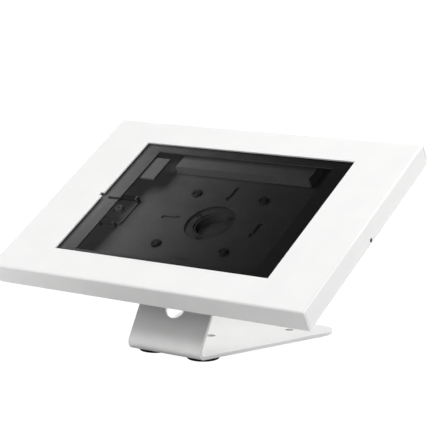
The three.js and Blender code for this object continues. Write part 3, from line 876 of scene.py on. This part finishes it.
# ---- Stand ----

PLATE = 3.0
PLATE_BEND = 4.0
OUTER_BEND = PLATE + PLATE_BEND
RISER_SLOPE = math.radians(60)
TILT = math.acos(JOINTS["screen_swivel"]["axis"][2])
LIFT = 3.5
BASE_FRONT, BASE_REAR, BASE_FLARE = -55.0, 105.8, 0.31
HEAD_TOP, HEAD_HALF = -28.0, 37.0
HALF_PLATE = 40.0
BASE_CORNER = 18
BOLT_HOLES = [(0, 12.5), (-47.5, 73), (47.5, 73)]
BOLT_RADIUS = 4.2
RISER_HOLE, RISER_HOLE_UP = 10.7, 35.3
HEAD_HOLE = 17
HEAD_CHAMFER = 10


def bent_strip():
    """The section of the front bend, the riser and the head plate, as (Y, Z) points."""
    riser = (math.cos(RISER_SLOPE), math.sin(RISER_SLOPE))
    head = (math.cos(TILT), math.sin(TILT))
    start = (BASE_FRONT - OUTER_BEND * math.sin(RISER_SLOPE),
             LIFT + OUTER_BEND * (1 + math.cos(RISER_SLOPE)))
    face_height = TO_STAND.translation.z
    normal = (-head[1], head[0])
    level = normal[0] * start[0] + normal[1] * (start[1] - face_height)
    length = (HEAD_TOP - level) / (normal[0] * riser[0] + normal[1] * riser[1])
    knee = (start[0] + length * riser[0], start[1] + length * riser[1])
    trim = OUTER_BEND * math.tan((RISER_SLOPE - TILT) / 2)
    knee_centre = (knee[0] - trim * riser[0] + OUTER_BEND * riser[1],
                   knee[1] - trim * riser[1] - OUTER_BEND * riser[0])
    front_centre = (BASE_FRONT, LIFT + OUTER_BEND)
    riser_turn, head_turn = math.pi / 2 + RISER_SLOPE, math.pi / 2 + TILT
    head_end = HEAD_HALF * 2 - trim

    def tip(radius):
        return (knee_centre[0] + radius * math.cos(head_turn) + head_end * head[0],
                knee_centre[1] + radius * math.sin(head_turn) + head_end * head[1])

    points = [(BASE_FRONT + 1, LIFT)]
    points += arc(front_centre, OUTER_BEND, math.pi * 1.5, riser_turn, 20)
    points += arc(knee_centre, OUTER_BEND, riser_turn, head_turn, 8)
    points += [tip(OUTER_BEND), tip(PLATE_BEND)]
    points += arc(knee_centre, PLATE_BEND, head_turn, riser_turn, 8)
    points += arc(front_centre, PLATE_BEND, riser_turn, math.pi * 1.5, 20)
    points += [(BASE_FRONT + 1, LIFT + PLATE)]
    return points, start


def build_stand():
    strip, riser_start = bent_strip()
    rear_half = HALF_PLATE + BASE_FLARE * (BASE_REAR - BASE_FRONT)
    outline = rounded([(-HALF_PLATE, BASE_FRONT), (HALF_PLATE, BASE_FRONT),
                       (rear_half, BASE_REAR, BASE_CORNER), (-rear_half, BASE_REAR, BASE_CORNER)], 20)
    body = join(prism(outline, LIFT, LIFT + PLATE), prism(strip, -HALF_PLATE, HALF_PLATE, "yz"))
    for x, y in BOLT_HOLES:
        cut(body, rod(BOLT_RADIUS, LIFT - 1, LIFT + PLATE + 1, x, y, 48))
    bore = rod(RISER_HOLE, -10, 10, segments=80)
    place = Matrix.Translation((0, riser_start[0] + RISER_HOLE_UP * math.cos(RISER_SLOPE),
                                riser_start[1] + RISER_HOLE_UP * math.sin(RISER_SLOPE)))
    bore.data.transform(place @ Matrix.Rotation(RISER_SLOPE, 4, "X"))
    cut(body, bore)
    low, high = HEAD_TOP - 5, HEAD_TOP + 1
    head_tools = [rod(HEAD_HOLE, low, high, segments=100)]
    head_tools += [rod(2, low, high, x, y, 32) for x, y in HUB_POINTS]
    inner_x, outer_x = HALF_PLATE - HEAD_CHAMFER, HALF_PLATE + 1
    inner_y, outer_y = HEAD_HALF - HEAD_CHAMFER, HEAD_HALF + 1
    for side in (-1, 1):
        corner = [(outer_x, outer_y), (inner_x, outer_y), (inner_x, HEAD_HALF), (HALF_PLATE, inner_y),
                  (outer_x, inner_y)]
        head_tools.append(prism([(side * a, b) for a, b in corner], low, high))
    for tool in head_tools:
        tool.data.transform(TO_STAND)
        cut(body, tool)
    show(body, "stand_bracket", STAND, bevel=0.45, angle=50, segments=3)


def build_feet():
    for node in [n for n in NODES if n.startswith("foot_")]:
        low, high = local_box(node, STAND)
        x, y = (low[0] + high[0]) / 2, (low[1] + high[1]) / 2
        r, top = (high[0] - low[0]) / 2, high[2]
        foot = revolve([(0, 0.5), (6, 0.5), (6.4, 0.1), (6.8, 0), (r - 1.4, 0), (r - 0.6, 0.25),
                        (r - 0.1, 0.9), (r, 1.5), (r, top - 0.4), (r - 0.15, top - 0.1),
                        (r - 0.4, top), (0, top)], x, y, 72)
        show(foot, node, STAND, bevel=0)


build_cover()
build_mask()
build_tray()
for foam_node in [n for n in NODES if n.startswith("foam_")]:
    build_foam(foam_node)
build_foam("mask_pad", crown=0.2, rounding=0.5)
for seal_node in [n for n in NODES if n.startswith("seal_")]:
    build_foam(seal_node, crown=0.1, rounding=0.4, step=6.0)
build_vesa()
build_hub()
build_hub_screws()
build_washers()
build_turntable()
build_spacer()
build_mask_fixings()
build_pivot_pin()
build_slide()
build_guide()
build_anchor()
build_shoulder_screw()
build_spring()
build_stand()
build_feet()


# ---- Floor, light and camera ----

FLOOR_HALF = 9
FLOOR_VEIL = 0.9
FLOOR_GLOW = 1.15
ROOM_LIGHT = 0.02
BACKDROP_LIGHT = 1.05
# Name, place in metres from the middle of the face, size, power, and what it lights.
SOFTBOXES = [
    ("overhead", (-0.15, -0.79, 1.39), (1.2, 1.2), 23.8, "pale"),
    ("right", (1.4, -0.25, 0.5), (0.9, 0.9), 8, "pale"),
    ("back", (0.3, 1.19, 0.86), (1.4, 0.9), 39, "pale"),
    ("rear", (0.3, 1.2, 0.1), (1.4, 0.9), 30, "dark"),
    ("left_low", (-0.36, -0.29, -0.1), (0.15, 0.1), 0.4, "pale"),
    ("front", (-0.15, -1.15, 0.7), (0.9, 0.75), 4.6, "stand"),
]
# The lamps of the dark inside, placed in the screen's axes: name, place, size, power,
# whether it is aimed at the face's middle and whether it casts a shadow.
INNER_LAMPS = [
    ("inner_left", (-0.19, 0.03, 0.125), (0.16, 0.16), 1.25, False, True),
    ("inner_fill", (-0.19, 0.0, 0.125), (0.16, 0.16), 0.6, False, False),
    ("inner_front", (-0.22, -0.33, 0.16), (0.2, 0.2), 0.9, False, True),
    ("inner_walls", (0.1, -0.5, 0.015), (0.3, 0.1), 3, True, False),
]
LIT = {}
CAMERA_AZIMUTH = math.radians(34.978)
CAMERA_ELEVATION = math.radians(9.922)
CAMERA_DISTANCE = 1.51845
CAMERA_LENS = 139.02
AIM = FACE_CENTRE + Vector((0.009562, 0.00485, -0.008616))


def camera_only(tree, seen, unseen):
    """Mixes two shaders: what the camera sees, and what lights the object."""
    path = tree.nodes.new("ShaderNodeLightPath")
    mix = tree.nodes.new("ShaderNodeMixShader")
    tree.links.new(path.outputs["Is Camera Ray"], mix.inputs["Fac"])
    tree.links.new(unseen, mix.inputs[1])
    tree.links.new(seen, mix.inputs[2])
    return mix.outputs["Shader"]


def build_floor():
    """A pale floor that stays almost white to the camera, with only a trace of shadow."""
    n = Nodes("pale_floor", (0.5, 0.5, 0.5), 0.9)
    n.color(n.noise(3, 2), (0.49, 0.49, 0.49), (0.51, 0.51, 0.51))
    n.set(n.shader, "Specular IOR Level", 0.1)
    glow = n.tree.nodes.new("ShaderNodeEmission")
    n.set(glow, "Strength", FLOOR_GLOW)
    veil = n.tree.nodes.new("ShaderNodeMixShader")
    n.set(veil, "Fac", FLOOR_VEIL)
    n.link(n.shader.outputs["BSDF"], veil.inputs[1])
    n.link(glow.outputs["Emission"], veil.inputs[2])
    surface = n.tree.nodes["Material Output"].inputs["Surface"]
    n.link(camera_only(n.tree, veil.outputs["Shader"], n.shader.outputs["BSDF"]), surface)
    corners = [(x, y, 0) for x, y in rectangle(-FLOOR_HALF, -FLOOR_HALF, FLOOR_HALF, FLOOR_HALF)]
    floor = new_object("floor", corners, [(0, 1, 2, 3)])
    floor.data.materials.append(n.material)


def softbox(name, away, size, power, lights):
    light = bpy.data.lights.new(name, "AREA")
    light.shape = "RECTANGLE"
    light.size, light.size_y = size
    light.energy = power
    lamp = bpy.data.objects.new(name, light)
    scene.collection.objects.link(lamp)
    lamp.location = FACE_CENTRE + away
    lamp.rotation_euler = (-away).to_track_quat("-Z", "Y").to_euler()
    lamp.visible_camera = False
    lamp.visible_glossy = False
    lamp.light_linking.receiver_collection = LIT[lights]
    return lamp


def sort_pieces():
    """The white sheet, the feet and the floor take the studio light; the dark inside its own."""
    for name in ("pale", "dark", "stand"):
        LIT[name] = bpy.data.collections.new(name)
    for obj in scene.objects:
        if obj.type == "MESH" and "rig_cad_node" not in obj:
            pale = obj.get("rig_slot") in (None, "white_powder_coat", "black_rubber")
            LIT["pale" if pale else "dark"].objects.link(obj)
            if obj.name.startswith(("stand_", "foot_")):
                LIT["stand"].objects.link(obj)


def build_light():
    sort_pieces()
    for name, away, *rest in SOFTBOXES:
        softbox(name, Vector(away), *rest)
    turn = SCREEN.to_quaternion()
    for name, away, size, power, aimed, shadow in INNER_LAMPS:
        lamp = softbox(name, turn @ Vector(away), size, power, "dark")
        if not aimed:
            lamp.rotation_euler = turn.to_euler()
        lamp.data.use_shadow = shadow
    world = bpy.data.worlds.new("studio")
    world.use_nodes = True
    tree = world.node_tree
    room = tree.nodes["Background"]
    room.inputs["Color"].default_value = (1, 1, 1, 1)
    room.inputs["Strength"].default_value = ROOM_LIGHT
    backdrop = tree.nodes.new("ShaderNodeBackground")
    backdrop.inputs["Color"].default_value = (1, 1, 1, 1)
    backdrop.inputs["Strength"].default_value = BACKDROP_LIGHT
    seen = camera_only(tree, backdrop.outputs["Background"], room.outputs["Background"])
    tree.links.new(seen, tree.nodes["World Output"].inputs["Surface"])
    scene.world = world


def build_camera():
    camera = bpy.data.cameras.new("camera")
    camera.lens = CAMERA_LENS
    camera.sensor_width = 36
    holder = bpy.data.objects.new("camera", camera)
    scene.collection.objects.link(holder)
    level = math.cos(CAMERA_ELEVATION)
    forward = Vector((-math.sin(CAMERA_AZIMUTH) * level, math.cos(CAMERA_AZIMUTH) * level,
                      -math.sin(CAMERA_ELEVATION)))
    holder.location = AIM - forward * CAMERA_DISTANCE
    holder.rotation_euler = forward.to_track_quat("-Z", "Y").to_euler()
    scene.camera = holder


build_floor()
build_light()
build_camera()
scene.view_settings.view_transform = "Standard"
